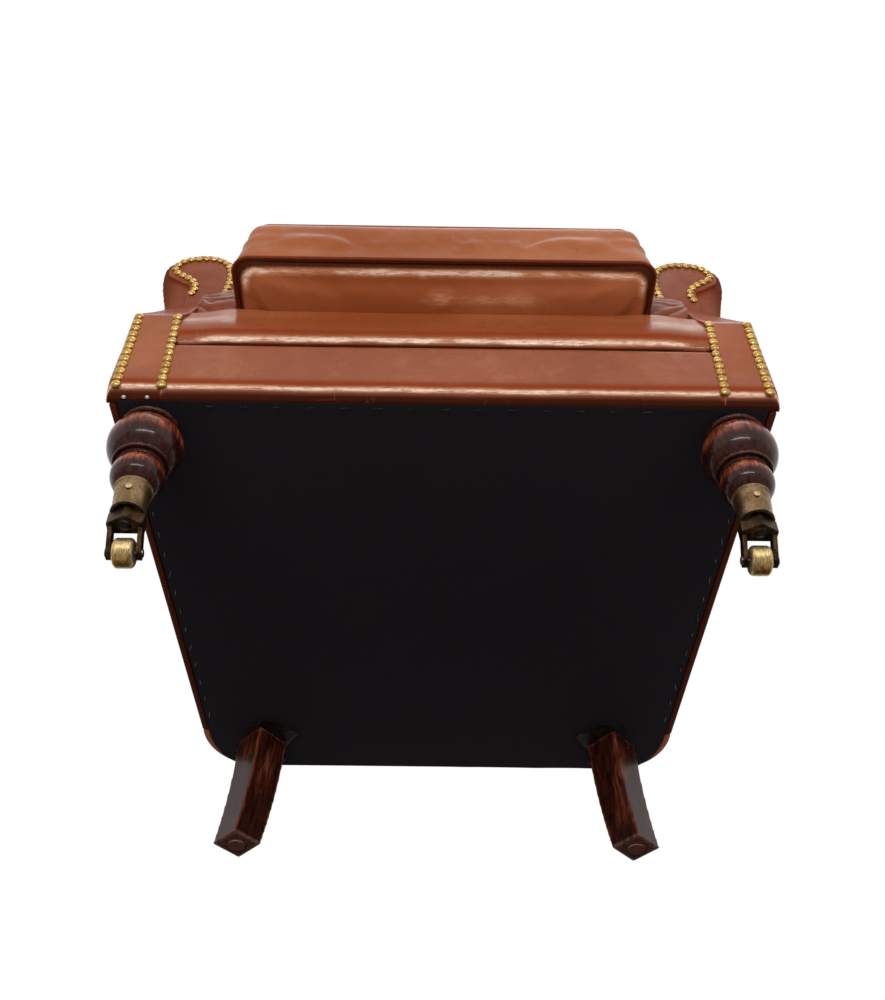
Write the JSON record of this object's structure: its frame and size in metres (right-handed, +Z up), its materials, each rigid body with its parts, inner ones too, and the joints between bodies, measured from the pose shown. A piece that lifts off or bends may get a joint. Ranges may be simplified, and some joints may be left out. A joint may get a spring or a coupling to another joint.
{
  "type": "hall porter chair",
  "caption": "Leather hall porter chair with an arched hood and wings, nailed scroll arms, buttoned back, loose seat cushion, turned front legs on brass castors and square rear legs.",
  "frame": {"origin": "on the floor, centred under the bounding box", "axes": "+Z up along the height, the front of the chair faces -Y, +X towards the sitter's left"},
  "size_m": [0.75, 0.804, 1.4413],
  "materials": {
    "leather": "worn satin, tan with darker wear",
    "frame_wood": "sawn, unfinished",
    "webbing": "woven jute",
    "deck_cloth": "plain woven",
    "dust_cloth": "black, matt",
    "nail_brass": "domed, lightly polished",
    "turned_wood": "dark, waxed, worn on the high parts",
    "dark_steel": "blackened",
    "castor_brass": "aged, satin",
    "pin_steel": "worn bright",
    "glide_plastic": "matt"
  },
  "bodies": {
    "chair": {"front_panel": "leather", "front_roll": "leather", "back_skirt": "leather", "outside_back": "leather", "hood_cover": "leather", "hood_border": "leather", "corner_panel_left": "leather", "outside_arm_left": "leather", "arm_pad_left": "leather", "arm_facing_left": "leather", "outside_wing_left": "leather", "wing_lining_left": "leather", "corner_panel_right": "leather", "outside_arm_right": "leather", "arm_pad_right": "leather", "arm_facing_right": "leather", "outside_wing_right": "leather", "wing_lining_right": "leather", "hood_lining": "leather", "inside_back": "leather", "back_buttons": "leather", "front_rail": "frame_wood", "back_rail": "frame_wood", "corner_blocks": "frame_wood", "hood_bows": "frame_wood", "back_frame": "frame_wood", "side_rail_left": "frame_wood", "arm_frame_left": "frame_wood", "wing_frame_left": "frame_wood", "side_rail_right": "frame_wood", "arm_frame_right": "frame_wood", "wing_frame_right": "frame_wood", "seat_webbing": "webbing", "seat_deck": "deck_cloth", "dust_cover": "dust_cloth", "front_nails": "nail_brass", "arm_nails": "nail_brass", "hood_nails": "nail_brass", "back_nails": "nail_brass", "front_leg_left": "turned_wood", "rear_leg_left": "turned_wood", "rear_leg_plate_left": "dark_steel", "caster_socket_left": "castor_brass", "front_leg_right": "turned_wood", "rear_leg_right": "turned_wood", "rear_leg_plate_right": "dark_steel", "caster_socket_right": "castor_brass", "plate_screws": "dark_steel", "socket_screws": "castor_brass", "rear_glides": "glide_plastic"},
    "seat_cushion": {"seat_cushion": "leather", "cushion_piping": "leather"},
    "caster_left": {"caster_horn_left": "castor_brass", "swivel_pin_left": "pin_steel", "caster_axle_left": "pin_steel"},
    "wheel_left": {"caster_wheel_left": "castor_brass"},
    "caster_right": {"caster_horn_right": "castor_brass", "swivel_pin_right": "pin_steel", "caster_axle_right": "pin_steel"},
    "wheel_right": {"caster_wheel_right": "castor_brass"}
  },
  "joints": [
    {"name": "cushion_lift", "type": "slide", "parent": "chair", "child": "seat_cushion", "axis": [0, 0, 1], "range_m": [0, 0.25]},
    {"name": "caster_left_swivel", "type": "hinge", "parent": "chair", "child": "caster_left", "pos_m": [-0.3275, -0.3, 0.05], "axis": [0, 0, 1], "continuous": true},
    {"name": "wheel_left_roll", "type": "hinge", "parent": "caster_left", "child": "wheel_left", "pos_m": [-0.3275, -0.278, 0.016], "axis": [1, 0, 0], "continuous": true},
    {"name": "caster_right_swivel", "type": "hinge", "parent": "chair", "child": "caster_right", "pos_m": [0.3275, -0.3, 0.05], "axis": [0, 0, 1], "continuous": true},
    {"name": "wheel_right_roll", "type": "hinge", "parent": "caster_right", "child": "wheel_right", "pos_m": [0.3275, -0.278, 0.016], "axis": [1, 0, 0], "continuous": true}
  ]
}
